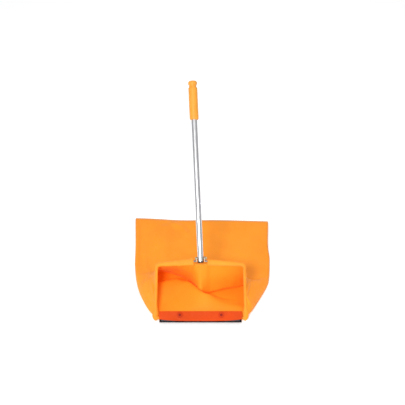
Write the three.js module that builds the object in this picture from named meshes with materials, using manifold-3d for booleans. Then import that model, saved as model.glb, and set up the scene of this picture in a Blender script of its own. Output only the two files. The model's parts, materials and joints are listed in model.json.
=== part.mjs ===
// Nail sweeper: an aluminium tube handle pivoted on a rectangular rod mouth that holds a fabric bag
// open, with a magnet bar bolted to the lower edge of the mouth.
// Millimetres, +Z up, +X to the right seen from the front, +Y into the bag.
// Origin: on the floor, on the underside of the bag, just behind the middle of the mouth's lower edge.

import * as THREE from 'three';
import { mergeVertices } from 'three/addons/utils/BufferGeometryUtils.js';
import Module from 'manifold-3d';

const wasm = await Module();
wasm.setup();

// ---- driving dimensions ----

const MOUTH_LEAN = 45; // degrees the mouth and the handle lean back
const MOUTH_FOOT = -20; // y at which the mouth's plane meets the floor
const HANDLE_LEAN = 2.6; // degrees the handle leans to the left of the mouth's centre line
const GAP = 0.3; // clearance between pieces that rest on each other
const ROUND = 32; // facets round the tube and the grip
const SMALL_ROUND = 16; // facets round rods, bolts and washers

const rod = { radius: 3.5, bottomZ: 9.5, cornerZ: 217, middleZ: 232, topHalf: 171, bottomHalf: 175,
	cornerRadius: 14 };
const eye = { inside: 14.5, thickness: 3, halfWidth: 7, footZ: 227.5 };
const pivot = { z: 241, boltRadius: 3, holeRadius: 3.3, headAcross: 10, headHeight: 3.5,
	nutHeight: 5, endLength: 1 };
const tube = { radius: 11.9, wall: 1.3, foot: -12.5, top: 685.5 };
const plug = { radius: 10.35, depth: 28, flange: 4 };
const grip = { radius: 17.8, neckRadius: 14.4, bodyFoot: 548, bodyTop: 676, neckTop: 687.5,
	top: 705, rim: 2.5, boreRadius: 12.2 };
const washer = { radius: 7, thickness: 1.4 };

const bar = { half: 159, bottom: -8, top: 34, back: -9.2, front: -21, sheet: 2 };
const lip = { top: 35, bottom: -3, rise: 7, corner: 7, thickness: 2 };
const magnet = { length: 60, height: 34, inner: 33, outer: 122 };
const lipScrew = { x: 80, z: 20.5, radius: 2.5, headRadius: 4.7, headHeight: 2.8, end: -2.2,
	washerRadius: 12, washerThickness: 1.5, nutAcross: 8, nutHeight: 4 };
const clip = { width: 20, innerRadius: 5.4, thickness: 1.1, top: 31 };

const bag = { sheet: 2.5, front: -6, depth: 587, skew: 0.041, shift: 4.5, mouthHalf: 178, farHalf: 282,
	flare: 160, farHeight: 7, behindRod: 10.5, belowRail: 6, curtain: 26, sideFoot: 16, rowEase: 0.25,
	sideSteps: 26, acrossSteps: 18 };
const hem = { innerRadius: 4, radius: 6.4, bottomRadius: 5.2, notchHalf: 27 };
const seam = { width: 562, depth: 9, height: 6 };

// ---- materials ----

const finish = (color, roughness, metalness = 0) =>
	new THREE.MeshStandardMaterial({ color, roughness, metalness });

const fabric = () => finish(0xff9f3a, 0.85);
const steel = () => finish(0xc4c6c8, 0.35, 1);
const aluminium = () => finish(0xd9dcde, 0.3, 1);
const blackSteel = () => finish(0x1b1b1d, 0.45);
const ferrite = () => finish(0x33343a, 0.7);

// ---- assembly groups ----

const radians = (degrees) => THREE.MathUtils.degToRad(degrees);

const group = new THREE.Group();

// The mouth's plane: local x across, local z up along the mouth, local y into the bag.
const mouth = new THREE.Group();
mouth.position.y = MOUTH_FOOT;
mouth.rotation.x = -radians(MOUTH_LEAN);
group.add(mouth);

// The pivot's frame: origin on the bolt's axis at the middle, local z along the handle.
const swing = new THREE.Group();
swing.position.z = pivot.z;
swing.rotation.y = -radians(HANDLE_LEAN);
mouth.add(swing);

function add(parent, name, geometry, material) {
	const mesh = new THREE.Mesh(geometry, material);
	mesh.name = name;
	parent.add(mesh);
	return mesh;
}

// ---- shape helpers ----

function toSolid(geometry) {
	const bare = geometry.clone();
	bare.deleteAttribute('normal');
	bare.deleteAttribute('uv');
	const merged = mergeVertices(bare, 1e-4);
	return new wasm.Manifold(new wasm.Mesh({
		numProp: 3,
		vertProperties: new Float32Array(merged.attributes.position.array),
		triVerts: new Uint32Array(merged.index.array),
	}));
}

function toGeometry(solid) {
	const mesh = solid.getMesh();
	const geometry = new THREE.BufferGeometry();
	geometry.setAttribute('position', new THREE.BufferAttribute(mesh.vertProperties, 3));
	geometry.setIndex(new THREE.BufferAttribute(mesh.triVerts, 1));
	return geometry;
}

const cut = (geometry, ...tools) =>
	toGeometry(tools.reduce((solid, tool) => solid.subtract(toSolid(tool)), toSolid(geometry)));

const join = (geometry, ...pieces) =>
	toGeometry(pieces.reduce((solid, piece) => solid.add(toSolid(piece)), toSolid(geometry)));

// A regular outline with its first corner on +x, wound counter-clockwise.
function regularShape(radius, facets) {
	const corners = [];
	for (let i = 0; i < facets; i++) {
		const angle = (i / facets) * 2 * Math.PI;
		corners.push(new THREE.Vector2(radius * Math.cos(angle), radius * Math.sin(angle)));
	}
	return new THREE.Shape(corners);
}

function ringShape(radius, holeRadius, facets) {
	const shape = regularShape(radius, facets);
	shape.holes.push(regularShape(holeRadius, facets));
	return shape;
}

// Extrudes a shape from low to high along x, y or z. Along x the shape's own axes lie on y and z,
// and along y they lie on x and z.
function extrudeAlong(axis, shape, low, high) {
	const geometry = new THREE.ExtrudeGeometry(shape, { depth: high - low, bevelEnabled: false });
	if (axis === 'x') {
		geometry.rotateY(Math.PI / 2).rotateX(Math.PI / 2).translate(low, 0, 0);
	} else if (axis === 'y') {
		geometry.rotateX(Math.PI / 2).translate(0, high, 0);
	} else {
		geometry.translate(0, 0, low);
	}
	return geometry;
}

const hexShape = (acrossFlats) => regularShape(acrossFlats / Math.sqrt(3), 6);

// A path that goes exactly through its points.
class PointPath extends THREE.Curve {
	constructor(points) {
		super();
		this.points = points;
	}

	at(u) {
		return Math.round(u * (this.points.length - 1));
	}

	getPointAt(u) {
		return this.points[this.at(u)].clone();
	}

	getTangentAt(u) {
		const i = this.at(u);
		const before = this.points[Math.max(i - 1, 0)];
		const after = this.points[Math.min(i + 1, this.points.length - 1)];
		return after.clone().sub(before).normalize();
	}
}

const sweep = (shape, points) => new THREE.ExtrudeGeometry(shape, {
	extrudePath: new PointPath(points),
	steps: points.length - 1,
	bevelEnabled: false,
});

// A line through the corners, with every inner corner rounded by an arc.
function roundedLine(corners, radius, arcSteps = 6) {
	const points = [corners[0]];
	for (let i = 1; i < corners.length - 1; i++) {
		const back = corners[i - 1].clone().sub(corners[i]).normalize();
		const ahead = corners[i + 1].clone().sub(corners[i]).normalize();
		const half = back.angleTo(ahead) / 2;
		const middle = back.clone().add(ahead).normalize().multiplyScalar(radius / Math.sin(half));
		const centre = corners[i].clone().add(middle);
		const start = corners[i].clone().addScaledVector(back, radius / Math.tan(half)).sub(centre);
		const normal = new THREE.Vector3().crossVectors(back, ahead).negate().normalize();
		for (let step = 0; step <= arcSteps; step++) {
			const turn = ((Math.PI - 2 * half) * step) / arcSteps;
			points.push(start.clone().applyAxisAngle(normal, turn).add(centre));
		}
	}
	points.push(corners.at(-1));
	return points;
}

// A strip of even thickness along points in a plane, as an outline.
function stripShape(points, thickness) {
	const left = [];
	const right = [];
	points.forEach((point, i) => {
		const before = points[Math.max(i - 1, 0)];
		const after = points[Math.min(i + 1, points.length - 1)];
		const along = after.clone().sub(before).normalize();
		const side = new THREE.Vector2(-along.y, along.x).multiplyScalar(thickness / 2);
		left.push(point.clone().add(side));
		right.unshift(point.clone().sub(side));
	});
	return new THREE.Shape([...left, ...right]);
}

// A sheet of even thickness: a flat box bent on to surface(across, along), both from 0 to 1.
function sheet(surface, acrossSteps, alongSteps, thickness) {
	const geometry = new THREE.BoxGeometry(1, 1, 1, acrossSteps, alongSteps, 1);
	const position = geometry.attributes.position;
	const small = 1e-3;
	for (let i = 0; i < position.count; i++) {
		const across = position.getX(i) + 0.5;
		const along = position.getY(i) + 0.5;
		const point = surface(across, along);
		const alongAcross = surface(across + small, along).sub(surface(across - small, along));
		const alongAlong = surface(across, along + small).sub(surface(across, along - small));
		const normal = alongAcross.cross(alongAlong).normalize();
		point.addScaledVector(normal, position.getZ(i) * thickness);
		position.setXYZ(i, point.x, point.y, point.z);
	}
	return geometry;
}

// ---- mouth frame ----

const inMouth = (x, z) => new THREE.Vector3(x, 0, z);

// Height of the top rail's axis, which rises evenly from the corners to the middle.
const topRailZ = (x) =>
	THREE.MathUtils.lerp(rod.middleZ, rod.cornerZ, Math.min(Math.abs(x) / rod.topHalf, 1));

function mouthFrame() {
	const end = eye.inside + 1;
	const loop = sweep(regularShape(rod.radius, SMALL_ROUND), roundedLine([
		inMouth(-end, topRailZ(end)),
		inMouth(-rod.topHalf, rod.cornerZ),
		inMouth(-rod.bottomHalf, rod.bottomZ),
		inMouth(rod.bottomHalf, rod.bottomZ),
		inMouth(rod.topHalf, rod.cornerZ),
		inMouth(end, topRailZ(end)),
	], rod.cornerRadius));
	return join(loop, eyePlate(-1), eyePlate(1));
}

// A flattened end of the rod: a plate with a round top and a hole for the bolt.
function eyePlate(side) {
	const shape = new THREE.Shape();
	shape.absarc(0, 0, eye.halfWidth, 0, Math.PI, false);
	shape.lineTo(-eye.halfWidth, eye.footZ - pivot.z);
	shape.lineTo(eye.halfWidth, eye.footZ - pivot.z);
	shape.holes.push(regularShape(pivot.holeRadius, SMALL_ROUND));
	const low = side < 0 ? -eye.inside - eye.thickness : eye.inside;
	const plate = extrudeAlong('x', shape, low, low + eye.thickness);
	swing.updateMatrix();
	return plate.applyMatrix4(swing.matrix);
}

// ---- handle pivot ----

const onPivot = (shape, low, high) => extrudeAlong('x', shape, low, high);

function pivotHardware() {
	const hole = ringShape(washer.radius, pivot.holeRadius, SMALL_ROUND);
	const innerHigh = eye.inside - GAP;
	const innerLow = innerHigh - washer.thickness;
	add(swing, 'pivot_washer_left', onPivot(hole, -innerHigh, -innerLow), steel());
	add(swing, 'pivot_washer_right', onPivot(hole, innerLow, innerHigh), steel());

	const outside = eye.inside + eye.thickness + GAP;
	const nutSeat = outside + washer.thickness + GAP;
	const boltEnd = nutSeat + pivot.nutHeight + pivot.endLength;
	add(swing, 'nut_washer', onPivot(hole, outside, outside + washer.thickness), steel());

	const nut = hexShape(pivot.headAcross);
	nut.holes.push(regularShape(pivot.holeRadius, SMALL_ROUND));
	add(swing, 'lock_nut', onPivot(nut, nutSeat, nutSeat + pivot.nutHeight), steel());

	const head = onPivot(hexShape(pivot.headAcross), -outside - pivot.headHeight, -outside);
	const shank = onPivot(regularShape(pivot.boltRadius, SMALL_ROUND), -outside - GAP, boltEnd);
	add(swing, 'pivot_bolt', join(head, shank), steel());
}

// ---- handle ----

function handle() {
	const bolthole = onPivot(regularShape(pivot.holeRadius, SMALL_ROUND), -grip.radius, grip.radius);
	const wall = ringShape(tube.radius, tube.radius - tube.wall, ROUND);
	const pipe = extrudeAlong('z', wall, tube.foot, tube.top);
	add(swing, 'handle_tube', cut(pipe, bolthole), aluminium());

	const stem = extrudeAlong('z', regularShape(plug.radius, ROUND), tube.foot - GAP - plug.flange / 2,
		tube.foot + plug.depth);
	const flange = extrudeAlong('z', regularShape(tube.radius, ROUND),
		tube.foot - GAP - plug.flange, tube.foot - GAP);
	add(swing, 'foot_plug', cut(join(stem, flange), bolthole), finish(0x1e1f22, 0.6));
	add(swing, 'grip', gripBody(), finish(0xffb63c, 0.45));
}

// The grip is a turned piece, blind at its top, with a rolled foot, a neck and a domed head.
function gripBody() {
	const profile = new THREE.Path();
	const { radius, neckRadius, bodyFoot, bodyTop, neckTop, top, rim, boreRadius } = grip;
	profile.moveTo(0, top);
	profile.quadraticCurveTo(radius, top, radius, neckTop + 2 * rim);
	profile.quadraticCurveTo(radius, neckTop, neckRadius, neckTop - rim);
	profile.lineTo(neckRadius, bodyTop + rim);
	profile.quadraticCurveTo(radius, bodyTop + rim, radius, bodyTop - rim);
	profile.lineTo(radius, bodyFoot + rim);
	profile.quadraticCurveTo(radius, bodyFoot, radius - rim, bodyFoot);
	profile.lineTo(boreRadius, bodyFoot);
	profile.lineTo(boreRadius, tube.top + GAP);
	profile.lineTo(0, tube.top + GAP);
	// LatheGeometry turns its profile about y and faces outwards when the profile runs upwards.
	const points = profile.getPoints(5).reverse();
	return new THREE.LatheGeometry(points, ROUND).rotateX(Math.PI / 2);
}

// ---- magnet bar on the lower rail ----

function magnetBar() {
	const screwHoles = [-1, 1].map((side) => extrudeAlong('y',
		regularShape(lipScrew.radius + GAP, SMALL_ROUND), bar.front - lip.thickness - 1, bar.back + 1)
		.translate(side * lipScrew.x, 0, lipScrew.z));

	const outer = new THREE.BoxGeometry(2 * bar.half, bar.back - bar.front, bar.top - bar.bottom);
	outer.translate(0, (bar.back + bar.front) / 2, (bar.top + bar.bottom) / 2);
	const hollow = new THREE.BoxGeometry(2 * bar.half + 2, bar.back - bar.front,
		bar.top - bar.bottom - 2 * bar.sheet);
	hollow.translate(0, (bar.back + bar.front) / 2 - bar.sheet, (bar.top + bar.bottom) / 2);
	add(mouth, 'magnet_channel', cut(outer, hollow, ...screwHoles), blackSteel());

	[-magnet.outer, -magnet.inner, magnet.inner, magnet.outer].forEach((x, i) => {
		const back = bar.back - bar.sheet - GAP;
		const depth = back - bar.front;
		const block = new THREE.BoxGeometry(magnet.length, depth, magnet.height);
		block.translate(x, back - depth / 2, (bar.top + bar.bottom) / 2);
		add(mouth, `magnet_${i + 1}`, block, ferrite());
	});

	add(mouth, 'lip_plate', cut(lipPlate(), ...screwHoles), finish(0xf0371e, 0.25));
	lipFastener('left', -lipScrew.x);
	lipFastener('right', lipScrew.x);
}

// The red plate: a straight top edge with rounded ends, and a lower edge that bows downwards.
function lipPlate() {
	const edgeSteps = 20;
	const shape = new THREE.Shape();
	const lowerEdge = (x) => lip.bottom + lip.rise * Math.abs(x / bar.half) ** 4;
	shape.moveTo(bar.half, lip.top - lip.corner);
	shape.quadraticCurveTo(bar.half, lip.top, bar.half - lip.corner, lip.top);
	shape.lineTo(-bar.half + lip.corner, lip.top);
	shape.quadraticCurveTo(-bar.half, lip.top, -bar.half, lip.top - lip.corner);
	for (let step = 0; step <= edgeSteps; step++) {
		const x = -bar.half + (2 * bar.half * step) / edgeSteps;
		shape.lineTo(x, lowerEdge(x));
	}
	const back = bar.front - GAP;
	return extrudeAlong('y', shape, back - lip.thickness, back);
}

function lipFastener(side, x) {
	const alongScrew = (shape, low, high) =>
		extrudeAlong('y', shape, low, high).translate(x, 0, lipScrew.z);
	const face = bar.front - GAP - lip.thickness - GAP;
	const seat = face - lipScrew.washerThickness - GAP;
	const round = regularShape(lipScrew.radius, SMALL_ROUND);

	add(mouth, `lip_washer_${side}`, alongScrew(
		ringShape(lipScrew.washerRadius, lipScrew.radius + GAP, ROUND),
		face - lipScrew.washerThickness, face), finish(0xff5a38, 0.3));
	add(mouth, `lip_screw_${side}`, join(
		alongScrew(regularShape(lipScrew.headRadius, SMALL_ROUND), seat - lipScrew.headHeight, seat),
		alongScrew(round, seat - GAP, lipScrew.end)), blackSteel());

	const tabBack = bar.back + GAP + clip.thickness;
	const nut = hexShape(lipScrew.nutAcross);
	nut.holes.push(regularShape(lipScrew.radius + GAP, SMALL_ROUND));
	add(mouth, `clip_nut_${side}`,
		alongScrew(nut, tabBack + GAP, tabBack + GAP + lipScrew.nutHeight), steel());

	const screwHole = alongScrew(regularShape(lipScrew.radius + GAP, SMALL_ROUND), bar.back, tabBack + 1);
	add(mouth, `rail_clip_${side}`, cut(railClip(x), screwHole), steel());
}

// A strap that goes round the lower rail from behind, with its tab flat on the channel's back.
function railClip(x) {
	const arcSteps = 12;
	const middle = clip.innerRadius + clip.thickness / 2;
	const tabY = bar.back + GAP + clip.thickness / 2;
	const points = [
		new THREE.Vector2(tabY, clip.top),
		new THREE.Vector2(tabY, rod.bottomZ + middle + clip.thickness),
		new THREE.Vector2(tabY + clip.thickness, rod.bottomZ + middle),
	];
	for (let step = 0; step <= arcSteps; step++) {
		const angle = radians(90 - (220 * step) / arcSteps);
		points.push(new THREE.Vector2(middle * Math.cos(angle), rod.bottomZ + middle * Math.sin(angle)));
	}
	return extrudeAlong('x', stripShape(points, clip.thickness), x - clip.width / 2,
		x + clip.width / 2);
}

// ---- bag ----

// Half the bag's width on the floor at a depth behind the mouth.
const bagHalf = (y) => bag.mouthHalf +
	(bag.farHalf - bag.mouthHalf) * (1 - Math.exp(-Math.max(y - MOUTH_FOOT, 0) / bag.flare));

// The far end lies a little askew and off centre on the floor.
const seamDepth = (x) => bag.depth - bag.skew * x;
const drift = (along) => bag.shift * along;

// A point in the row's frame from one in the mouth's plane.
const fromMouth = (x, y, z) => new THREE.Vector3(x, y, z).applyEuler(mouth.rotation).add(mouth.position);

// Rows lie closer together near the mouth, where the fabric falls steeply.
const easeIn = (share) => share * (bag.rowEase + (1 - bag.rowEase) * share);

function floorPanel(across, along) {
	const side = 2 * across - 1;
	const depth = THREE.MathUtils.lerp(bag.front, bag.depth, along);
	const x = side * (bagHalf(depth) - 2 * bag.sheet) + drift(along);
	const y = THREE.MathUtils.lerp(bag.front, seamDepth(x), along);
	return new THREE.Vector3(x, y, bag.sheet / 2);
}

// The side's lower edge, from beside the mouth's lower corner to the far corner.
function lowerEdge(side, share) {
	const along = easeIn(share);
	const start = fromMouth(rod.bottomHalf, bag.behindRod, bag.sideFoot);
	const depth = THREE.MathUtils.lerp(start.y, bag.depth, along);
	const x = side * bagHalf(depth) + drift(along);
	return new THREE.Vector3(x, THREE.MathUtils.lerp(start.y, seamDepth(x), along), start.z - along);
}

// The ridge from the mouth's upper corner, which drops quickly and then runs along the floor.
function ridge(side, share) {
	const along = easeIn(share);
	const dropLength = 75;
	const start = fromMouth(rod.topHalf, bag.behindRod, rod.cornerZ - bag.belowRail);
	const depth = THREE.MathUtils.lerp(start.y, bag.depth, along);
	const fall = Math.exp((start.y - depth) / dropLength);
	const inset = 6;
	const x = side * (bagHalf(depth) - inset - (bagHalf(start.y) - inset - start.x) * fall) +
		drift(along);
	const z = bag.farHeight - 2 + (start.z - bag.farHeight + 2) * fall;
	return new THREE.Vector3(x, THREE.MathUtils.lerp(start.y, seamDepth(x), along), z);
}

function sidePanel(side) {
	const bulge = 10;
	const fade = 4;
	const growth = 8;
	return (across, along) => {
		const point = lowerEdge(side, along).lerp(ridge(side, along), side < 0 ? across : 1 - across);
		const swell = bulge * Math.sin(Math.PI * across) * Math.exp(-fade * along) *
			Math.min(growth * along, 1);
		point.x += side * swell;
		return point;
	};
}

// The top panel hangs from the top rail, dips behind it and spreads out towards the far seam.
function topPanel(across, along) {
	const edgeGap = 4;
	const edgeInset = 0.015;
	const notchDip = 8;
	const side = 2 * across - 1;
	const point = ridge(-1, along).lerp(ridge(1, along),
		THREE.MathUtils.lerp(edgeInset, 1 - edgeInset, across));
	const dip = notchDip * Math.exp(-((point.x / hem.notchHalf) ** 2));
	const railStart = fromMouth(point.x, bag.behindRod, topRailZ(point.x) - bag.belowRail - dip);
	const start = ridge(1, 0).y;
	point.y += (railStart.y - start) * Math.exp((start - point.y) / bag.curtain);
	const edgeZ = point.z + edgeGap;
	const middleZ = bag.farHeight + (railStart.z - bag.farHeight) *
		Math.exp(-(((railStart.y - point.y) / bag.curtain) ** 2));
	point.z = THREE.MathUtils.lerp(middleZ, edgeZ, Math.abs(side) ** 3);
	return point;
}

function bagPanels() {
	const { sheet: thickness, sideSteps, acrossSteps } = bag;
	add(group, 'bag_floor_panel', sheet(floorPanel, 2, sideSteps, thickness), fabric());
	add(group, 'bag_side_left', sheet(sidePanel(-1), 5, sideSteps, thickness), fabric());
	add(group, 'bag_side_right', sheet(sidePanel(1), 5, sideSteps, thickness), fabric());
	add(group, 'bag_top_panel', sheet(topPanel, acrossSteps, sideSteps, thickness), fabric());

	const end = new THREE.BoxGeometry(seam.width, seam.depth, seam.height);
	end.rotateZ(-Math.atan(bag.skew));
	end.translate(bag.shift, bag.depth + seam.depth / 2 + 2, seam.height / 2 + 1);
	add(group, 'bag_end_seam', end, fabric());
}

// Sleeves of folded fabric round the rod, open over the pivot and thinner under the magnet bar.
function bagHems() {
	const sleeve = ringShape(hem.radius, hem.innerRadius, SMALL_ROUND);
	for (const [name, side] of [['bag_hem_left', -1], ['bag_hem_right', 1]]) {
		const corners = [
			inMouth(side * hem.notchHalf, topRailZ(hem.notchHalf)),
			inMouth(side * rod.topHalf, rod.cornerZ),
			inMouth(side * rod.bottomHalf, rod.bottomZ),
			inMouth(side * (bar.half + GAP), rod.bottomZ),
		];
		add(mouth, name, sweep(sleeve, roundedLine(corners, rod.cornerRadius)), fabric());
	}
	const flat = ringShape(hem.bottomRadius, hem.innerRadius, SMALL_ROUND);
	add(mouth, 'bag_hem_bottom', extrudeAlong('x', flat, -bar.half, bar.half)
		.translate(0, 0, rod.bottomZ), fabric());
}

// ---- build ----

add(mouth, 'mouth_frame', mouthFrame(), steel());
pivotHardware();
handle();
magnetBar();
bagPanels();
bagHems();

export default group;
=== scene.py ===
"""Looks of the magnetic nail sweeper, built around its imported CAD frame.

Metres, +Z up, +Y into the bag. The mouth leans back at 45 degrees, so most places are given in the
mouth's own axes: x across, inward into the bag, and up the mouth from where its plane meets the floor.
"""

import json
import math

import bmesh
import bpy
from mathutils import Matrix, Vector, noise


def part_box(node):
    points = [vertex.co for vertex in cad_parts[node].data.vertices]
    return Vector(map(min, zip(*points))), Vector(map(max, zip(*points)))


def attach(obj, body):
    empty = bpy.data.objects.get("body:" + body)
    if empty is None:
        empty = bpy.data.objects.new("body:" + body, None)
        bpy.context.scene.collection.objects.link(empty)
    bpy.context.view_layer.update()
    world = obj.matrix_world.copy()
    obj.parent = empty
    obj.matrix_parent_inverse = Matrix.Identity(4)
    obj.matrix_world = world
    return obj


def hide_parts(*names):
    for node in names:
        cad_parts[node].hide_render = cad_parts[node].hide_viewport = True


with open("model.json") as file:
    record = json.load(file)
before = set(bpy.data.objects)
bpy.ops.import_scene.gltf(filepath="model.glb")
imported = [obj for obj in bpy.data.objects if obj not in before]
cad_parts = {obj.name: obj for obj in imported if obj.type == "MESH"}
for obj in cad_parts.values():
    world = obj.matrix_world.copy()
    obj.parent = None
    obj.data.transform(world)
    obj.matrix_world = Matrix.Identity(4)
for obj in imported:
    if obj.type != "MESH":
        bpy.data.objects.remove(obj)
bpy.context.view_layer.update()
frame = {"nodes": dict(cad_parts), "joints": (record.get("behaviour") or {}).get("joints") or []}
NODES = frame["nodes"]


# ---- axes taken from the frame ----

# The hinge's axis lies in the mouth's plane, square to the handle.
HINGE = frame["joints"][0]
PIVOT = Vector(HINGE["pos_m"])
HINGE_AXIS = Vector(HINGE["axis"]).normalized()
MOUTH_UP = Vector((0, HINGE_AXIS.y, HINGE_AXIS.z)).normalized()
MOUTH_IN = Vector((0, MOUTH_UP.z, -MOUTH_UP.y))
MOUTH_FOOT = PIVOT - MOUTH_UP * (PIVOT.z / MOUTH_UP.z)
HANDLE_UP = HINGE_AXIS.cross(MOUTH_IN).normalized()
MOUTH_AXES = Matrix((Vector((1, 0, 0)), MOUTH_IN, MOUTH_UP))


def in_mouth(x, inward, up):
    """A point in the row frame from one in the mouth's axes."""
    return MOUTH_FOOT + Vector((x, 0, 0)) + MOUTH_IN * inward + MOUTH_UP * up


def extent(node, origin, axes):
    """Lowest and highest corner of a CAD node along three axes from an origin."""
    local = [axes @ (v.co - origin) for v in NODES[node].data.vertices]
    return (Vector(min(p[k] for p in local) for k in range(3)),
            Vector(max(p[k] for p in local) for k in range(3)))


def mouth_extent(node):
    return extent(node, MOUTH_FOOT, MOUTH_AXES)


def handle_extent(node):
    return extent(node, PIVOT, Matrix((HINGE_AXIS, MOUTH_IN, HANDLE_UP)))


# ---- sizes ----

ROD_RADIUS = 0.0035
ROD = {
    "bottom": mouth_extent("mouth_frame")[0].z + ROD_RADIUS,
    "bottom_half": mouth_extent("mouth_frame")[1].x - ROD_RADIUS,
    "top_half": 0.171,
    "corner": 0.217,
    "middle": 0.232,
    "bend": 0.014,
}
# The gap between the two hems at the handle, and the shares of it between which the bag's edge slopes.
NOTCH_HALF = 0.027
NOTCH_SLOPE = (0.8, 1.15)

SEAM_LOW, SEAM_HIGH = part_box("bag_end_seam")
BAG = {
    "width": SEAM_HIGH.x - SEAM_LOW.x,
    "shift": (SEAM_HIGH.x + SEAM_LOW.x) / 2,
    "depth": (SEAM_HIGH.y + SEAM_LOW.y) / 2,
    "skew": 0.041,
    "sewn_inward": 0.004,
    "notch_drop": 0.0125,
    "slack": 0.03,
}
FABRIC_THICKNESS = 0.0009
CELLS_ACROSS = 48
CELLS_ALONG = 58
DRAPE_FRAMES = 40
# The outline on the floor: how steeply it flares from the mouth, how far each side settles out, how much
# less that is at the mouth, the depth over which it settles, and how sharply it turns between the two.
FLARE = 0.455
SPREAD = {-1: {"far": 0.1065, "drop": 0.0930}, 1: {"far": 0.1080, "drop": 0.0410}}
SPREAD_RUN = 0.18
OUTLINE_TURN = 12


# ---- mesh helpers ----

def blend_in(value, low, high):
    """0 below low, 1 above high, and smooth between them."""
    share = max(0.0, min(1.0, (value - low) / (high - low)))
    return share * share * (3 - 2 * share)


def interpolate(value, points):
    """The height at value of the broken line through (place, height) points."""
    for (a, low), (b, high) in zip(points, points[1:]):
        if value <= b:
            return low + (high - low) * (value - a) / (b - a)
    return points[-1][1]


def new_object(name, verts, faces, uvs=None):
    """A smooth-shaded object; uvs holds one (u, v) for each corner of each face."""
    mesh = bpy.data.meshes.new(name)
    mesh.from_pydata([tuple(v) for v in verts], [], faces)
    if uvs:
        layer = mesh.uv_layers.new(name="cloth")
        layer.data.foreach_set("uv", [c for uv in uvs for c in uv])
    mesh.update()
    mesh.shade_smooth()
    piece = bpy.data.objects.new(name, mesh)
    bpy.context.scene.collection.objects.link(piece)
    return piece


def applied(piece, name):
    """The piece with its modifiers applied, under a new name. The original is removed."""
    graph = bpy.context.evaluated_depsgraph_get()
    mesh = bpy.data.meshes.new_from_object(piece.evaluated_get(graph))
    made = bpy.data.objects.new(name, mesh)
    bpy.context.scene.collection.objects.link(made)
    bpy.data.objects.remove(piece)
    return made


def face_out(piece):
    """Turns every face of a closed mesh outwards."""
    shell = bmesh.new()
    shell.from_mesh(piece.data)
    bmesh.ops.recalc_face_normals(shell, faces=shell.faces)
    shell.to_mesh(piece.data)
    shell.free()
    return piece


def lofted(name, rings, ends="caps"):
    """A skin over rings of points. Ends are closed with caps, or joined to each other by a loop."""
    count = len(rings[0])
    verts = [p for ring in rings for p in ring]
    faces = []
    steps = len(rings) if ends == "loop" else len(rings) - 1
    for i in range(steps):
        a, b = i * count, (i + 1) % len(rings) * count
        for k in range(count):
            n = (k + 1) % count
            faces.append((a + k, a + n, b + n, b + k))
    if ends == "caps":
        faces.append(tuple(range(count)))
        faces.append(tuple(range(len(verts) - count, len(verts))))
    return face_out(new_object(name, verts, faces))


def turned(name, profile, origin, up, steps=64):
    """A solid of revolution. The (radius, height) points run from axis to axis or round a closed loop."""
    side = up.orthogonal().normalized()
    front = up.cross(side)
    verts, rings, faces = [], [], []
    for radius, height in profile:
        middle = origin + up * height
        if radius < 1e-7:
            rings.append([len(verts)] * steps)
            verts.append(middle)
            continue
        rings.append(list(range(len(verts), len(verts) + steps)))
        for k in range(steps):
            angle = 2 * math.pi * k / steps
            verts.append(middle + (side * math.cos(angle) + front * math.sin(angle)) * radius)
    is_loop = profile[0][0] > 1e-7
    for low, high in zip(rings, rings[1:] + (rings[:1] if is_loop else [])):
        for k in range(steps):
            n = (k + 1) % steps
            corners = (low[k], low[n], high[n], high[k])
            faces.append(tuple(dict.fromkeys(corners)))
    piece = face_out(new_object(name, verts, faces))
    piece.data.set_sharp_from_angle(angle=math.radians(40))
    return piece


def softened(points, radius, steps=4):
    """An outline with its inner corners rounded by arcs of about the given radius."""
    rounded = [points[0]]
    for before, corner, after in zip(points, points[1:], points[2:]):
        here = Vector(corner)
        back, ahead = Vector(before) - here, Vector(after) - here
        cut = min(radius, back.length * 0.45, ahead.length * 0.45)
        start, end = here + back.normalized() * cut, here + ahead.normalized() * cut
        for k in range(steps + 1):
            t = k / steps
            rounded.append(tuple(start * (1 - t) ** 2 + here * 2 * t * (1 - t) + end * t * t))
    rounded.append(points[-1])
    return rounded


def lengths_along(line):
    """How far each point of a line lies from its start, measured along it."""
    lengths = [0.0]
    for a, b in zip(line, line[1:]):
        lengths.append(lengths[-1] + (b - a).length)
    return lengths


def point_along(line, lengths, goal):
    """The point at a distance from a line's start, or its end if that is nearer."""
    i = next((i for i in range(1, len(line)) if lengths[i] >= goal), len(line) - 1)
    share = (goal - lengths[i - 1]) / max(lengths[i] - lengths[i - 1], 1e-9)
    return line[i - 1].lerp(line[i], min(1, share))


# ---- materials ----

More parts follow.
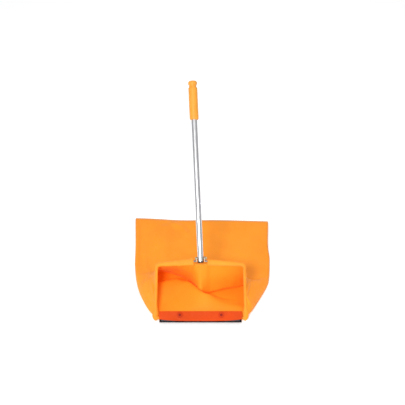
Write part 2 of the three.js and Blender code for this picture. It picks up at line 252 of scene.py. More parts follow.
class Look:
    """A material being built up: one Principled shader and the nodes that feed it."""

    def __init__(self, name, colour, roughness, metallic=0.0):
        self.material = bpy.data.materials.new(name)
        self.material.use_nodes = True
        self.nodes = self.material.node_tree.nodes
        self.links = self.material.node_tree.links
        self.shader = self.nodes["Principled BSDF"]
        self.colour = colour
        self.set("Base Color", (*colour, 1))
        self.set("Roughness", roughness)
        self.set("Metallic", metallic)

    def set(self, name, value):
        """Gives the shader's input a plain value or the output of a node."""
        target = self.shader.inputs[name]
        if isinstance(value, bpy.types.NodeSocket):
            self.links.new(value, target)
        else:
            target.default_value = value

    def node(self, kind, inputs=(), **settings):
        made = self.nodes.new(kind)
        for key, value in settings.items():
            setattr(made, key, value)
        for key, value in dict(inputs).items():
            if isinstance(value, bpy.types.NodeSocket):
                self.links.new(value, made.inputs[key])
            else:
                made.inputs[key].default_value = value
        return made

    def place(self, stretch=(1, 1, 1), coords="Object"):
        where = self.node("ShaderNodeTexCoord").outputs[coords]
        return self.node("ShaderNodeMapping", {"Vector": where, "Scale": stretch}).outputs["Vector"]

    def along(self, direction, stretch):
        """Object coordinates squeezed along one direction by stretch."""
        where = self.node("ShaderNodeTexCoord").outputs["Object"]
        side = direction.orthogonal().normalized()
        parts = []
        for axis, size in ((side, 1), (direction.cross(side), 1), (direction, stretch)):
            dot = self.node("ShaderNodeVectorMath", {0: where, 1: axis * size}, operation="DOT_PRODUCT")
            parts.append(dot.outputs["Value"])
        return self.node("ShaderNodeCombineXYZ", {"X": parts[0], "Y": parts[1], "Z": parts[2]}).outputs[0]

    def noise(self, scale, detail=3, where=None):
        made = self.node("ShaderNodeTexNoise", {
            "Vector": where or self.place(), "Scale": scale, "Detail": detail})
        return made.outputs["Fac"]

    def ranged(self, value, low, high, start=0.3, end=0.7):
        made = self.node("ShaderNodeMapRange", {
            "Value": value, "From Min": start, "From Max": end, "To Min": low, "To Max": high})
        return made.outputs["Result"]

    def mixed(self, factor, first, second):
        """A colour between two, which may be plain colours or outputs."""
        made = self.node("ShaderNodeMix", data_type="RGBA")
        for socket, value in ((made.inputs[0], factor), (made.inputs[6], first), (made.inputs[7], second)):
            if isinstance(value, bpy.types.NodeSocket):
                self.links.new(value, socket)
            elif isinstance(value, (tuple, list)):
                socket.default_value = (*value[:3], 1)
            else:
                socket.default_value = value
        return made.outputs[2]

    def varied(self, value, amount):
        """The base colour made lighter and darker by amount, following value."""
        dark = tuple(c * (1 - amount) for c in self.colour)
        light = tuple(min(1.0, c * (1 + amount)) for c in self.colour)
        return self.mixed(self.ranged(value, 0, 1), dark, light)

    def bump(self, value, distance, strength=1.0, below=None):
        inputs = {"Height": value, "Distance": distance, "Strength": strength}
        if below is not None:
            inputs["Normal"] = below
        made = self.node("ShaderNodeBump", inputs)
        return made.outputs["Normal"]

    def rubbed(self, base, worn):
        """The base colour with a few small rubbed spots of a worn colour."""
        spots = self.ranged(self.noise(260, 2), 0, 0.7, 0.66, 0.74)
        return self.mixed(spots, base, worn)


THREAD_PITCH = 0.0009


def weave(look, pitch):
    """Height of a plain weave whose threads run along the cloth's own two directions."""
    cloth = look.node("ShaderNodeUVMap", uv_map="cloth").outputs["UV"]
    parts = look.node("ShaderNodeSeparateXYZ", {0: cloth})
    waves = []
    for axis in ("X", "Y"):
        turn = look.node("ShaderNodeMath", {0: parts.outputs[axis], 1: math.pi / pitch},
                         operation="MULTIPLY")
        waves.append(look.node("ShaderNodeMath", {0: turn.outputs[0]}, operation="SINE").outputs[0])
    crossed = look.node("ShaderNodeMath", {0: waves[0], 1: waves[1]}, operation="MULTIPLY")
    return crossed.outputs[0]


def fabric(name, colour, through, painted_glow):
    """Thin coated nylon: it lets light through, and a weak red-orange emission is a painted glow that
    keeps its shaded parts a saturated red.
    """
    look = Look(name, colour, 0.62)
    mottled = look.noise(9, 4)
    look.set("Base Color", look.varied(mottled, 0.08))
    threads = weave(look, THREAD_PITCH)
    crumple = look.bump(look.noise(24, 4), 0.0032, 0.5)
    look.set("Normal", look.bump(threads, 0.00012, 0.5, below=crumple))
    look.set("Roughness", look.ranged(look.noise(60), 0.55, 0.7))
    look.set("Sheen Weight", 0.10)
    look.set("Sheen Roughness", 0.4)
    look.set("Sheen Tint", (1.0, 0.75, 0.45, 1))
    look.set("Specular IOR Level", 0.3)
    # Painted glow: the fabric gives off this red-orange light whether it is lit or not.
    look.set("Emission Color", (*painted_glow, 1))
    look.set("Emission Strength", 1.0)
    lit = look.node("ShaderNodeBsdfTranslucent", {"Color": (1.0, colour[1] * 0.8, colour[2] * 0.5, 1)})
    both = look.node("ShaderNodeMixShader", {0: through})
    look.links.new(look.shader.outputs[0], both.inputs[1])
    look.links.new(lit.outputs[0], both.inputs[2])
    look.links.new(both.outputs[0], look.nodes["Material Output"].inputs["Surface"])
    return look.material


def thread(name, colour):
    """Sewing thread: matt, fuzzy and uneven in colour."""
    look = Look(name, colour, 0.7)
    look.set("Base Color", look.varied(look.noise(700), 0.25))
    look.set("Normal", look.bump(look.noise(1500), 0.0002, 0.6))
    look.set("Sheen Weight", 0.3)
    return look.material


def brushed(name, colour, roughness, direction=None):
    """Bare metal with fine lines along a direction, or an even grain."""
    look = Look(name, colour, roughness, 1.0)
    where = look.along(direction, 0.02) if direction else look.place()
    grain = look.noise(1800, 2, where)
    smudge = look.noise(25, 3)
    look.set("Base Color", look.varied(smudge, 0.05))
    look.set("Roughness", look.ranged(grain, roughness * 0.75, roughness * 1.3))
    look.set("Normal", look.bump(grain, 0.00004, 0.35))
    return look.material


def enamel(name, colour, roughness, worn):
    """Sprayed paint with a slight orange peel and a few rubbed spots."""
    look = Look(name, colour, roughness)
    patchy = look.varied(look.noise(14, 2), 0.07)
    look.set("Base Color", look.rubbed(patchy, worn))
    look.set("Roughness", look.ranged(look.noise(40), roughness * 0.8, roughness * 1.3))
    look.set("Normal", look.bump(look.noise(420, 1), 0.0001, 0.4))
    look.set("Specular IOR Level", 0.04)
    return look.material


def plastic(name, colour, roughness, soft=0.0):
    """Moulded plastic with a fine grain."""
    look = Look(name, colour, roughness)
    look.set("Base Color", look.varied(look.noise(30, 3), 0.06))
    look.set("Roughness", look.ranged(look.noise(90), roughness * 0.85, roughness * 1.2))
    look.set("Normal", look.bump(look.noise(900, 2), 0.00008, 0.4))
    if soft:
        look.set("Subsurface Weight", soft)
        look.set("Subsurface Radius", (1.0, 0.5, 0.2))
        look.set("Subsurface Scale", 0.004)
    return look.material


def cast(name, colour, roughness):
    """Sintered ferrite with a rough, grainy skin."""
    look = Look(name, colour, roughness, 0.3)
    look.set("Base Color", look.varied(look.noise(120, 4), 0.25))
    look.set("Normal", look.bump(look.noise(500, 4), 0.0003, 0.7))
    return look.material


MATERIALS = {
    # The last colour given to each fabric is its painted glow.
    "bag_fabric": fabric("orange_nylon", (0.97, 0.340, 0.017), 0.12, (0.12, 0.020, 0.0)),
    # The hems' nylon is a slightly darker copy of the bag's, as painted shade, and has a weaker painted
    # glow.
    "hem_fabric": fabric("orange_nylon_doubled", (0.97, 0.320, 0.020), 0.08, (0.08, 0.014, 0.0)),
    "thread": thread("orange_thread", (0.80, 0.30, 0.07)),
    "edging": thread("overlock_thread", (0.72, 0.31, 0.08)),
    "rod_steel": brushed("rod_steel", (0.30, 0.27, 0.24), 0.45),
    "zinc_fasteners": brushed("zinc_plate", (0.44, 0.36, 0.22), 0.42),
    "red_enamel": enamel("red_enamel", (0.64, 0.062, 0.008), 0.48, (0.72, 0.12, 0.03)),
    # The washers' paint is a darker copy of the red enamel: painted shade at their rims and feet.
    "shaded_red_washer": enamel("shaded_red_washer", (0.56, 0.045, 0.008), 0.48, (0.68, 0.10, 0.03)),
    "black_enamel": enamel("black_enamel", (0.012, 0.009, 0.011), 0.5, (0.06, 0.055, 0.055)),
    # The screw heads' dark red is partly their paint and partly painted shade of their recesses.
    "painted_fasteners": enamel("painted_fasteners", (0.26, 0.020, 0.010), 0.45, (0.40, 0.05, 0.02)),
    "ferrite": cast("ferrite", (0.045, 0.045, 0.05), 0.7),
    "bright_aluminium": brushed("bright_aluminium", (0.77, 0.77, 0.78), 0.36, HANDLE_UP),
    "black_plastic": plastic("black_plastic", (0.016, 0.016, 0.018), 0.45),
    "amber_grip": plastic("amber_grip", (0.86, 0.35, 0.035), 0.42, soft=0.1),
}


def dress(piece, material):
    piece.data.materials.clear()
    piece.data.materials.append(MATERIALS[material])
    return piece


def mount(piece, body, material, slot, *nodes):
    """Finishes a new piece: its look, the body it rides on and the CAD nodes it stands for."""
    dress(piece, material)
    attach(piece, body)
    if nodes:
        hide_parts(*nodes)
    return piece


# ---- bag: cut like a pillowcase, sewn to the rod at the mouth, and fallen flat behind it ----

# Where the upper layer first lies on the floor, as (share across the bag, depth behind the origin).
UPPER_CONTACT = ((0, 0.225), (0.10, 0.245), (0.20, 0.262), (0.31, 0.240), (0.40, 0.205), (0.445, 0.160),
                 (0.492, 0.098), (0.57, 0.130), (0.68, 0.150), (0.80, 0.168), (0.92, 0.20), (1, 0.225))
# How much of the lower layer's length it needs to come down from the rod to the floor.
LOWER_DESCENT = ((0, 0.33), (0.09, 0.07), (0.19, 0.03), (0.36, 0.02), (0.64, 0.02), (0.81, 0.03),
                 (0.91, 0.07), (1, 0.33))
# What is held in place as the bag falls: of the lower layer what is this near to the outline, in this
# share of its rows, and of the upper layer this share past its contact, between these shares across.
OUTLINE_BAND = 0.022
OUTLINE_ROWS = 0.62
CONTACT_BAND = 0.02
CONTACT_SHARES = (0.12, 0.9)
# The start shape: its height over the floor, the upper layer's height over the lower one, how far in
# from a fold the upper layer still slopes, and how far before the origin the lower layer begins.
START_HEIGHT = 0.004
LAYER_GAP = 0.003
SIDE_SLOPE = 0.12
MOUTH_START = 0.012
# How much longer the lower layer is than its run on the floor, and how early it comes down.
LOWER_EXTRA = 0.015
LOWER_EASE = 0.8


def outline_half(y, side):
    """How far the bag reaches to one side on the floor at depth y: it flares in a straight line from
    the mouth's lower corner, turns, and settles to the far seam's width."""
    run = max(y - MOUTH_FOOT.y, 1e-4)
    flare = FLARE * run
    settled = SPREAD[side]["far"] - SPREAD[side]["drop"] * math.exp(-run / SPREAD_RUN)
    spread = (flare ** -OUTLINE_TURN + settled ** -OUTLINE_TURN) ** (-1 / OUTLINE_TURN)
    return ROD["bottom_half"] + ROD_RADIUS + spread


# Where and how much the far seam is pulled in towards the mouth.
PULL = {"depth": 0.007, "left": 0.08, "width": 0.09}


def far_edge(x):
    """Depth of the far seam, which is a little askew and pulled in left of the middle."""
    pull = PULL["depth"] * math.exp(-((x + PULL["left"]) / PULL["width"]) ** 2)
    return BAG["depth"] - BAG["skew"] * x - pull


def rod_height(x):
    """Height of the top rail's axis above the mouth's foot."""
    return ROD["corner"] + (ROD["middle"] - ROD["corner"]) * (1 - abs(x) / ROD["top_half"])


def sewn_point(layer, share):
    """A point of the line where the bag is sewn round the rod: the upper layer over the top rail, and
    the lower one under the bottom rail, each from the left fold to the right fold."""
    fold = (ROD["corner"] + ROD["bottom"]) / 2
    climb = (ROD["corner"] - ROD["bottom"]) / 2
    rail = 2 * (ROD["top_half"] if layer > 0 else ROD["bottom_half"])
    run = share * (rail + 2 * climb)
    lean = (ROD["top_half"] - ROD["bottom_half"]) / (ROD["corner"] - ROD["bottom"])
    if run < climb or run > rail + climb:
        up = fold + layer * min(run, rail + 2 * climb - run)
        half = ROD["bottom_half"] + lean * (up - ROD["bottom"])
        return in_mouth(-half if run < climb else half, BAG["sewn_inward"], up)
    x = run - climb - rail / 2
    if layer < 0:
        return in_mouth(x, BAG["sewn_inward"], ROD["bottom"])
    notch_side = blend_in(abs(x), NOTCH_HALF * NOTCH_SLOPE[0], NOTCH_HALF * NOTCH_SLOPE[1])
    dip = BAG["notch_drop"] * (1 - notch_side)
    return in_mouth(x, BAG["sewn_inward"], rod_height(x) - dip)


def upper_column(share):
    """Where an upper column meets the floor, its hanging and its lying length."""
    side = -1 if share < 0.5 else 1
    depth = interpolate(share, UPPER_CONTACT)
    x = (2 * share - 1) * outline_half(depth, side)
    contact = Vector((x, depth, 0))
    hanging = (sewn_point(1, share) - contact).length * (1 + BAG["slack"])
    return hanging, far_edge(x) - depth


def fallen_point(layer, share, t):
    """Where a point of the pattern lies once the bag has fallen, t being its share of the length."""
    side = -1 if share < 0.5 else 1
    edge = min(share, 1 - share) * BAG["width"]
    half_width = BAG["width"] / 2
    if layer > 0:
        hanging, lying = upper_column(share)
        first = hanging / (hanging + lying)
        y = interpolate(share, UPPER_CONTACT) + lying * max(0, (t - first) / (1 - first))
        x = (2 * share - 1) * outline_half(y, side)
        spare = max(0, half_width - outline_half(y, side))
        seam_side = 0 < share < 1 and t < 1
        rise = spare * max(0, 1 - edge / SIDE_SLOPE)
        return Vector((x, y, START_HEIGHT + rise + LAYER_GAP * seam_side)), first
    x = (2 * share - 1) * half_width
    y = -MOUTH_START + t * (far_edge(x) + MOUTH_START)
    half = outline_half(y, side)
    first = interpolate(share, LOWER_DESCENT)
    rise = max(0, half_width - half - edge - BAG["width"] / CELLS_ACROSS)
    return Vector((max(-half, min(half, x)), y, START_HEIGHT + rise)), first


def bag_pattern():
    """The bag before it falls, its flat pattern, and which points are held in place."""
    columns = 2 * CELLS_ACROSS
    start, pattern, held = [], [], []
    lower_length = BAG["depth"] + LOWER_EXTRA
    across = BAG["width"] / CELLS_ACROSS
    for row in range(CELLS_ALONG + 1):
        t = row / CELLS_ALONG
        for column in range(columns):
            layer = 1 if column < CELLS_ACROSS else -1
            share = column % CELLS_ACROSS / CELLS_ACROSS
            if layer < 0:
                share = 1 - share
            point, first = fallen_point(layer, share, t)
            length = sum(upper_column(share)) if layer > 0 else lower_length
            pattern.append(Vector(((share - 0.5) * BAG["width"], t * length, layer * 1e-4)))
            down = min(1, t / first)
            if layer < 0:
                down = down ** LOWER_EASE
            point.x += BAG["shift"] * t
            start.append(sewn_point(layer, share).lerp(point, down))
            side = -1 if share < 0.5 else 1
            rim = outline_half(point.y, side) - abs(share - 0.5) * BAG["width"]
            on_outline = layer < 0 and -across < rim < OUTLINE_BAND and t < OUTLINE_ROWS
            in_middle = CONTACT_SHARES[0] < share < CONTACT_SHARES[1]
            on_contact = layer > 0 and in_middle and 0 <= t - first < CONTACT_BAND
            if row in (0, CELLS_ALONG) or on_outline or on_contact:
                held.append(len(start) - 1)
    faces, uvs = [], []
    along = BAG["depth"] / CELLS_ALONG
    for row in range(CELLS_ALONG):
        for column in range(columns):
            after = (column + 1) % columns
            a, b = row * columns + column, row * columns + after
            faces.append((a, b, b + columns, a + columns))
            for u, v in ((column, row), (column + 1, row), (column + 1, row + 1), (column, row + 1)):
                uvs.append((u * across, v * along))
    return start, pattern, held, faces, uvs


def drape(piece, pattern, held):
    """Lets the piece fall from its start shape by cloth simulation, keeping the pattern's lengths."""
    floor = new_object("fall_floor", [(-1, -1, 0), (1, -1, 0), (1, 2, 0), (-1, 2, 0)], [(0, 1, 2, 3)])
    floor.modifiers.new("solid", "COLLISION")
    floor.collision.thickness_outer = 0.002
    floor.collision.cloth_friction = 20
    piece.shape_key_add(name="start")
    rest = piece.shape_key_add(name="pattern")
    for point, place in zip(rest.data, pattern):
        point.co = place
    piece.vertex_groups.new(name="held").add(held, 1.0, "REPLACE")
    cloth = piece.modifiers.new("fall", "CLOTH")
    cloth.point_cache.frame_start = 1
    cloth.point_cache.frame_end = DRAPE_FRAMES
    nylon = cloth.settings
    nylon.quality = 8
    nylon.mass = 0.3
    nylon.air_damping = 2
    nylon.tension_stiffness = nylon.compression_stiffness = 40
    nylon.shear_stiffness = 20
    nylon.bending_stiffness = 1
    nylon.tension_damping = nylon.compression_damping = nylon.shear_damping = 10
    nylon.bending_damping = 1
    nylon.vertex_group_mass = "held"
    nylon.rest_shape_key = rest
    touch = cloth.collision_settings
    touch.distance_min = 0.002
    touch.use_self_collision = True
    touch.self_distance_min = 0.003
    touch.self_friction = 2
    touch.collision_quality = 3
    for number in range(1, DRAPE_FRAMES + 1):
        bpy.context.scene.frame_set(number)
    settled = applied(piece, "bag_settled")
    bpy.data.objects.remove(floor)
    return settled


# Soft ridges of the fallen fabric: their line on the floor, height, and widths before and behind it.
RIDGES = (
    {"line": ((-0.158, 0.163), (-0.098, 0.181), (-0.056, 0.163), (-0.018, 0.128), (0.012, 0.092)),
     "height": 0.034, "before": 0.062, "behind": 0.021},
    {"line": ((-0.045, 0.160), (-0.006, 0.105), (0.05, 0.068), (0.155, 0.048)),
     "height": 0.006, "before": 0.026, "behind": 0.022},
    {"line": ((-0.158, 0.30), (-0.150, 0.42), (-0.144, 0.535)),
     "height": 0.010, "before": 0.026, "behind": 0.026},
    {"line": ((-0.110, 0.560), (-0.085, 0.545), (-0.060, 0.500)),
     "height": 0.007, "before": 0.016, "behind": 0.016},
)
# Ridges fade out over this height above the floor, and between these two depths at the mouth.
RIDGE_CEILING = 0.09
RIDGE_START = (-0.012, 0.05)


def nearest_on(point, line):
    """The point of a broken line nearest to a point, both in plan."""
    places = []
    for a, b in zip(line, line[1:]):
        start, run = Vector(a), Vector(b) - Vector(a)
        share = max(0, min(1, (point - start).dot(run) / run.length_squared))
        places.append(start + run * share)
    return min(places, key=lambda place: (place - point).length)


def raise_ridges(piece):
    """Lifts the fabric along the ridges. What is already high is lifted less, so layers stay apart."""
    for vert in piece.data.vertices:
        plan = Vector((vert.co.x, vert.co.y))
        low = max(0, 1 - vert.co.z / RIDGE_CEILING) * blend_in(plan.y, *RIDGE_START)
        for ridge in RIDGES:
            offset = plan - nearest_on(plan, ridge["line"])
            width = ridge["before"] if offset.y < 0 else ridge["behind"]
            vert.co.z += ridge["height"] * low * math.exp(-(offset.length / width) ** 2)


def make_bag():
    start, pattern, held, faces, uvs = bag_pattern()
    rough = new_object("bag_rough", start, faces, uvs)
    rough = drape(rough, pattern, held)
    rough.modifiers.new("fine", "SUBSURF").levels = 1
    bag = applied(rough, "bag")
    raise_ridges(bag)
    bag.data.shade_smooth()
    shell = bag.modifiers.new("thickness", "SOLIDIFY")
    shell.thickness = FABRIC_THICKNESS
    shell.offset = 0
    mount(bag, "scoop", "bag_fabric", "bag_fabric",
          "bag_floor_panel", "bag_top_panel", "bag_side_left", "bag_side_right")
    return bag


# ---- hems: sleeves of doubled fabric round the rod ----

# Half the sleeves' heights at each place along the rod, how far they sink at the notch, half their
# thickness, how far the side ones turn along the lower rail, and their gap to the bottom one.
HEM = {
    "side_half": 0.0061,
    "corner_half": 0.0078,
    "notch_half": {-1: 0.0145, 1: 0.0125},
    "notch_sink": {-1: 0.002, 1: 0.005},
    "tab_half": 0.0122,
    "bottom_half": 0.0054,
    "thick": 0.0052,
    "sheet": FABRIC_THICKNESS,
    "turn": 0.022,
    "gap": 0.0008,
    "pitch": 0.004,
}


def rounded_path(corners, radius, pitch):
    """Evenly spaced (x, up) points along a broken line whose corners are rounded."""
    curve = [Vector(p) for p in softened(corners, radius, 8)]
    lengths = lengths_along(curve)
    count = round(lengths[-1] / pitch)
    return [point_along(curve, lengths, lengths[-1] * k / count) for k in range(count + 1)]


# Where the stitch line runs round a sleeve, how far it sinks into the fabric, and its stitches' sizes.
STITCH_ANGLE = math.radians(222)
STITCH_SINK = 0.0004
STITCH = {"pitch": 0.0042, "length": 0.0031, "radius": 0.00042}
# Puckers of a sleeve: their height, how many there are to a metre, how far its ends flare, and how
# quickly that fades along it.
PUCKER = {"height": 0.0007, "crowding": 90, "flare": 0.0006, "flare_fade": 60}


def lens(angle):
    """Depth of a flattened sleeve's section at an angle round it, as a share of its thickness."""
    return math.sin(angle) * (1 - 0.35 * abs(math.cos(angle)) ** 3)


def sleeve(name, path, half_at, seed):
    """A hollow fabric sleeve along a path in the mouth's plane, open at both ends, and its stitch line."""
    around = 32
    outer, inner, stitches = [], [], []
    for i, here in enumerate(path):
        before, after = path[max(i - 1, 0)], path[min(i + 1, len(path) - 1)]
        run = (after - before).normalized()
        across = Vector((run.y, -run.x))
        half = half_at(here)
        sink = toward_notch(here) * HEM["notch_sink"][-1 if here.x < 0 else 1]
        tail = i / (len(path) - 1)
        fade = PUCKER["flare_fade"]
        end_flare = PUCKER["flare"] * (math.exp(-tail * fade) + math.exp(-(1 - tail) * fade))
        for rings, inset in ((outer, 0), (inner, HEM["sheet"])):
            ring = []
            for k in range(around):
                angle = 2 * math.pi * k / around
                along = here * PUCKER["crowding"]
                place = Vector((along.x, along.y, math.cos(angle) * 1.5 + seed))
                pucker = PUCKER["height"] * noise.noise(place) + end_flare
                wide = (half - inset + pucker) * math.cos(angle)
                deep = (HEM["thick"] - inset + pucker) * lens(angle)
                ring.append(in_mouth(here.x + across.x * wide, deep, here.y + across.y * wide - sink))
            rings.append(ring)
        lift = HEM["thick"] * lens(STITCH_ANGLE) - STITCH_SINK
        shift = half * math.cos(STITCH_ANGLE)
        stitches.append(in_mouth(here.x + across.x * shift, lift, here.y + across.y * shift - sink))
    piece = lofted(name, outer + inner[::-1], ends="loop")
    return piece, stitches


# A stitch, as rings of (share of its length, share of its radius, lift off the fabric in radii).
STITCH_RINGS = ((0, 0.35, -0.3), (0.15, 0.85, 0), (0.5, 1, 0.35), (0.85, 0.85, 0), (1, 0.35, -0.3))


def stitched(name, lines, pitch, length, radius, outward):
    """Short threads laid end to end along lines of points, as one piece."""
    verts, faces = [], []
    sides = 6
    for line in lines:
        lengths = lengths_along(line)
        for n in range(int(lengths[-1] / pitch)):
            start = point_along(line, lengths, n * pitch)
            end = point_along(line, lengths, n * pitch + length)
            run = (end - start).normalized()
            side = run.cross(outward).normalized()
            first = len(verts)
            for share, size, lift in STITCH_RINGS:
                middle = start.lerp(end, share) + outward * lift * radius
                for k in range(sides):
                    angle = 2 * math.pi * k / sides
                    verts.append(middle + (side * math.cos(angle) + outward * math.sin(angle))
                                 * radius * size)
            last = first + (len(STITCH_RINGS) - 1) * sides
            for ring in range(first, last, sides):
                for k in range(sides):
                    a, b = ring + k, ring + (k + 1) % sides
                    faces.append((a, b, b + sides, a + sides))
            faces.append(tuple(range(first, first + sides)))
            faces.append(tuple(range(last, last + sides)))
    return face_out(new_object(name, verts, faces))


# Where a sleeve counts as running along the top rail, where it widens into the tab at the mouth's foot,
# and the heights between which it widens to its corner.
HEM_TOP_SHARE = 0.03
HEM_TAB = {"inside": 0.008, "low": 0.03, "fade": (0.02, 0.060)}
HEM_CORNER = (0.195, 0.217)


def toward_notch(here):
    """0 at the mouth's upper corner and down the side, growing to 1 at the notch."""
    if here.y < ROD["corner"] - ROD["bend"]:
        return 0
    return max(0, (ROD["top_half"] - abs(here.x)) / (ROD["top_half"] - NOTCH_HALF))


def hem_half(here):
    """Half the sleeve's height across the rod: narrow up the sides, wider at the foot and the notch."""
    share = toward_notch(here)
    if share > HEM_TOP_SHARE:
        wide = HEM["notch_half"][-1 if here.x < 0 else 1]
        return HEM["corner_half"] + (wide - HEM["corner_half"]) * share
    if abs(here.x) < ROD["bottom_half"] - HEM_TAB["inside"] and here.y < HEM_TAB["low"]:
        return HEM["side_half"]
    foot = 1 - blend_in(here.y, *HEM_TAB["fade"])
    corner = blend_in(here.y, *HEM_CORNER)
    return HEM["side_half"] + (HEM["tab_half"] - HEM["side_half"]) * foot + (
        HEM["corner_half"] - HEM["side_half"]) * corner


def make_hems():
    lines = []
    for side, name, seed in ((-1, "left", 3.0), (1, "right", 17.0)):
        corners = [(side * (ROD["bottom_half"] - HEM["turn"]), ROD["bottom"]),
                   (side * ROD["bottom_half"], ROD["bottom"]),
                   (side * ROD["top_half"], ROD["corner"]),
                   (side * NOTCH_HALF, rod_height(NOTCH_HALF))]
        path = rounded_path(corners, ROD["bend"], HEM["pitch"])
        piece, stitches = sleeve("hem_" + name, path, hem_half, seed)
        mount(piece, "scoop", "hem_fabric", "bag_fabric", "bag_hem_" + name)
        lines.append(stitches)
    reach = ROD["bottom_half"] - HEM["turn"] - HEM["gap"]
    path = rounded_path([(-reach, ROD["bottom"]), (0, ROD["bottom"]), (reach, ROD["bottom"])], 0.01, 0.006)
    piece, stitches = sleeve("hem_bottom", path, lambda here: HEM["bottom_half"], 29.0)
    mount(piece, "scoop", "hem_fabric", "bag_fabric", "bag_hem_bottom")
    seam = stitched("hem_stitching", lines, STITCH["pitch"], STITCH["length"], STITCH["radius"], -MOUTH_IN)
    mount(seam, "scoop", "thread", "bag_fabric")


# ---- far seam and the edging along the bag's folds ----

def edging(name, line, outward, half, thick):
    """A flattened cord of overlocked thread laid along a line of points."""
    rings = []
    for i, here in enumerate(line):
        run = (line[min(i + 1, len(line) - 1)] - line[max(i - 1, 0)]).normalized()
        out = (outward - run * outward.dot(run)).normalized()
        up = run.cross(out)
        loop = 1 + 0.14 * math.sin(i * math.pi / 2)
        rings.append([here + out * half * loop * math.cos(a) + up * thick * loop * math.sin(a)
                      for a in (2 * math.pi * k / 10 for k in range(10))])
    return lofted(name, rings)


def resampled(points, pitch):
    """Points at an even pitch along a smooth curve through the given ones."""
    fine = []
    for i in range(len(points) - 1):
        p0, p1 = points[max(i - 1, 0)], points[i]
        p2, p3 = points[i + 1], points[min(i + 2, len(points) - 1)]
        steps = max(1, round((p2 - p1).length / pitch))
        for k in range(steps):
            t = k / steps
            fine.append(0.5 * (2 * p1 + (p2 - p0) * t + (2 * p0 - 5 * p1 + 4 * p2 - p3) * t * t
                               + (3 * p1 - p0 - 3 * p2 + p3) * t ** 3))
    fine.append(points[-1])
    return fine


# Fabric lower than this counts as lying on the floor.
WALL_FOOT = 0.02
# The overlocked cords of the far seam and of the folds: half their width and their thickness.
END_CORD = {"half": 0.0030, "thick": 0.0017, "height": 0.0045, "behind": 0.0015}
FOLD_CORD = {"half": 0.0017, "thick": 0.0012}
CORD_PITCH = 0.0016


def make_seams(bag):
    columns = 2 * CELLS_ACROSS
    verts = bag.data.vertices
    last = CELLS_ALONG * columns
    far = [verts[last + c].co.copy() for c in range(CELLS_ACROSS + 1)]
    far = [Vector((p.x, p.y + END_CORD["behind"], END_CORD["height"])) for p in far]
    line = resampled(far, CORD_PITCH)
    seam = edging("end_seam_edging", line, Vector((0, 1, 0)), END_CORD["half"], END_CORD["thick"])
    mount(seam, "scoop", "edging", "bag_fabric", "bag_end_seam")
    for name, out in (("left", -1), ("right", 1)):
        rows = [verts[row * columns:(row + 1) * columns] for row in range(CELLS_ALONG + 1)]
        low_rows = [[vert for vert in row if vert.co.z < WALL_FOOT] for row in rows[1:]]
        rim = [max(row, key=lambda vert: out * vert.co.x).co.copy() for row in low_rows]
        for _ in range(3):
            inner = [(a + b * 2 + c) / 4 for a, b, c in zip(rim, rim[1:], rim[2:])]
            rim = [rim[0], *inner, rim[-1]]
        line = resampled(rim, CORD_PITCH)
        cord = edging("side_seam_edging_" + name, line, Vector((out, 0, 0)),
                      FOLD_CORD["half"], FOLD_CORD["thick"])
        mount(cord, "scoop", "edging", "bag_fabric")


# ---- handle ----

TUBE = {"wall": 0.0013, "edge": 0.0005, "hole_radius": 0.0033, "drill_half": 0.03}
# The grip's outline below its top: a domed head, a neck, and a body with a rounded foot.
GRIP = {
    "crown_radius": 0.0055,
    "crown_drop": 0.0002,
    "dome_share": 0.80,
    "dome_drop": 0.0022,
    "head_top": 0.0075,
    "head_foot": 0.0150,
    "neck_share": 0.806,
    "neck_top": 0.0185,
    "neck_foot": 0.0265,
    "body_top": 0.0300,
    "foot_round": 0.0035,
    "foot_rim": 0.0022,
    "round": 0.0022,
    "side_gap": 0.0003,
    "end_gap": 0.0004,
}


def make_tube():
    low, high = handle_extent("handle_tube")
    radius = high.x
    wall = TUBE["wall"]
    profile = softened([
        (radius - wall / 2, low.z), (radius, low.z), (radius, high.z),
        (radius - wall, high.z), (radius - wall, low.z), (radius - wall / 2, low.z)], TUBE["edge"], 3)[:-1]
    tube = turned("handle_tube_rough", profile, PIVOT, HANDLE_UP, 96)
    half, hole_radius = TUBE["drill_half"], TUBE["hole_radius"]
    drill = turned("drill", [(0, -half), (hole_radius, -half), (hole_radius, half), (0, half)],
                   PIVOT, HINGE_AXIS, 32)
    hole = tube.modifiers.new("bolt_hole", "BOOLEAN")
    hole.object = drill
    hole.solver = "EXACT"
    tube = applied(tube, "handle_tube_drawn")
    bpy.data.objects.remove(drill)
    mount(tube, "handle", "bright_aluminium", "bright_aluminium", "handle_tube")


def make_grip():
    low, high = handle_extent("grip")
    tube_high = handle_extent("handle_tube")[1]
    body, top = high.x, high.z
    neck = body * GRIP["neck_share"]
    bore = tube_high.x + GRIP["side_gap"]
    bore_end = tube_high.z + GRIP["end_gap"]
    profile = [
        (0, top),
        (GRIP["crown_radius"], top - GRIP["crown_drop"]),
        (body * GRIP["dome_share"], top - GRIP["dome_drop"]),
        (body, top - GRIP["head_top"]),
        (body, top - GRIP["head_foot"]),
        (neck, top - GRIP["neck_top"]),
        (neck, top - GRIP["neck_foot"]),
        (body, top - GRIP["body_top"]),
        (body, low.z + GRIP["foot_round"]),
        (body - GRIP["foot_rim"], low.z),
        (bore, low.z),
        (bore, bore_end),
        (0, bore_end),
    ]
    grip = turned("grip_moulded", softened(profile, GRIP["round"], 5), PIVOT, HANDLE_UP, 96)
    mount(grip, "handle", "amber_grip", "amber_grip", "grip")


# ---- hardware carried over from the CAD ----

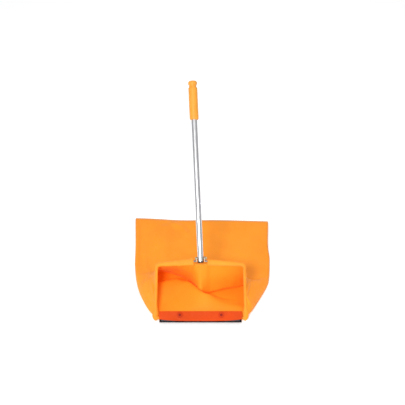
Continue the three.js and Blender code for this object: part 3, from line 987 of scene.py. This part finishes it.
# Each carried node's material and the width of its softened edges.
CARRIED = {
    "mouth_frame": ("rod_steel", 0.0003),
    "pivot_bolt": ("zinc_fasteners", 0.0003),
    "pivot_washer_left": ("zinc_fasteners", 0.0002),
    "pivot_washer_right": ("zinc_fasteners", 0.0002),
    "nut_washer": ("zinc_fasteners", 0.0002),
    "lock_nut": ("zinc_fasteners", 0.0003),
    "foot_plug": ("black_plastic", 0.0005),
    "magnet_channel": ("black_enamel", 0.0007),
    "lip_plate": ("red_enamel", 0.0006),
    # The washers take the darker red, which is painted shade.
    "lip_washer_left": ("shaded_red_washer", 0.0004),
    "lip_washer_right": ("shaded_red_washer", 0.0004),
    # Screw heads: red paint darkened with painted shade of their recesses.
    "lip_screw_left": ("painted_fasteners", 0.0004),
    "lip_screw_right": ("painted_fasteners", 0.0004),
    "clip_nut_left": ("zinc_fasteners", 0.0003),
    "clip_nut_right": ("zinc_fasteners", 0.0003),
    "rail_clip_left": ("zinc_fasteners", 0.0003),
    "rail_clip_right": ("zinc_fasteners", 0.0003),
    "magnet_1": ("ferrite", 0.0006),
    "magnet_2": ("ferrite", 0.0006),
    "magnet_3": ("ferrite", 0.0006),
    "magnet_4": ("ferrite", 0.0006),
}


def finish_hardware():
    """Gives each carried node its material, softened edges and smooth rounds."""
    for node, (material, edge) in CARRIED.items():
        piece = NODES[node]
        dress(piece, material)
        for face in piece.data.polygons:
            face.use_smooth = True
        piece.modifiers.new("weld", "WELD").merge_threshold = 1e-5
        bevel = piece.modifiers.new("edges", "BEVEL")
        bevel.width = edge
        bevel.segments = 2
        bevel.limit_method = "ANGLE"
        bevel.angle_limit = math.radians(35)
        piece.modifiers.new("shading", "WEIGHTED_NORMAL")


# ---- stage, light and camera ----

# The floor's half-size, and how far it lies below the origin so that the bag doesn't touch it.
STAGE_HALF = 6
STAGE_DROP = 0.0015


def make_stage():
    """White paper that glows a little, so that it shows as white to the edges."""
    size = STAGE_HALF
    floor = new_object("floor", [(-size, -size, 0), (size, -size, 0), (size, size, 0), (-size, size, 0)],
                       [(0, 1, 2, 3)])
    floor.location.z = -STAGE_DROP
    paper = Look("paper", (0.92, 0.92, 0.92), 0.8)
    paper.set("Emission Color", (1, 1, 1, 1))
    paper.set("Emission Strength", 0.25)
    floor.data.materials.append(paper.material)


# The room's brightness, and its colour from the middle (first) to the two sides (last).
ROOM_STRENGTH = 0.62
ROOM_STOPS = ((0.60, (1, 1, 1, 1)), (0.95, (0.42, 0.43, 0.45, 1)))
# Soft lamps: name, place, size and watts.
LAMPS = (
    ("key", (-0.85, -2.9, 2.85), 0.9, 114),
    ("top", (0.5, 1.4, 3.0), 2.0, 18),
)
LAMP_TARGET = Vector((0, 0.3, 0.1))


def make_light():
    """A white room whose two sides are darker, so that round metal shows its edges, and two soft lamps."""
    world = bpy.data.worlds.new("studio")
    bpy.context.scene.world = world
    world.use_nodes = True
    nodes, links = world.node_tree.nodes, world.node_tree.links
    parts = nodes.new("ShaderNodeSeparateXYZ")
    links.new(nodes.new("ShaderNodeTexCoord").outputs["Generated"], parts.inputs[0])
    sideways = nodes.new("ShaderNodeMath")
    sideways.operation = "ABSOLUTE"
    links.new(parts.outputs["X"], sideways.inputs[0])
    ramp = nodes.new("ShaderNodeValToRGB")
    for stop, (position, colour) in zip(ramp.color_ramp.elements, ROOM_STOPS):
        stop.position = position
        stop.color = colour
    links.new(sideways.outputs[0], ramp.inputs[0])
    links.new(ramp.outputs[0], nodes["Background"].inputs["Color"])
    nodes["Background"].inputs["Strength"].default_value = ROOM_STRENGTH
    for name, place, size, power in LAMPS:
        data = bpy.data.lights.new(name, "AREA")
        data.size = size
        data.energy = power
        lamp = bpy.data.objects.new(name, data)
        lamp.location = place
        aim = LAMP_TARGET - Vector(place)
        lamp.rotation_euler = aim.to_track_quat("-Z", "Y").to_euler()
        bpy.context.scene.collection.objects.link(lamp)


# The camera looks down at the mouth from far off. The middle of its view lies this far to the side of
# the mouth's foot, and this far above it as seen by the camera.
CAMERA_ELEVATION = math.radians(38)
CAMERA_DISTANCE = 5.4
CAMERA_LENS = 124
CAMERA_SIDE = 0.0077
CAMERA_RISE = 0.4567


def make_camera():
    data = bpy.data.cameras.new("camera")
    data.lens = CAMERA_LENS
    data.sensor_width = 36
    camera = bpy.data.objects.new("camera", data)
    ahead = Vector((0, math.cos(CAMERA_ELEVATION), -math.sin(CAMERA_ELEVATION)))
    up = Vector((0, math.sin(CAMERA_ELEVATION), math.cos(CAMERA_ELEVATION)))
    camera.location = MOUTH_FOOT + Vector((CAMERA_SIDE, 0, 0)) + up * CAMERA_RISE - ahead * CAMERA_DISTANCE
    camera.rotation_euler = (math.pi / 2 - CAMERA_ELEVATION, 0, 0)
    bpy.context.scene.collection.objects.link(camera)
    bpy.context.scene.camera = camera


bag = make_bag()
make_hems()
make_seams(bag)
make_tube()
make_grip()
finish_hardware()
make_stage()
make_light()
make_camera()
bpy.context.scene.view_settings.view_transform = "Standard"
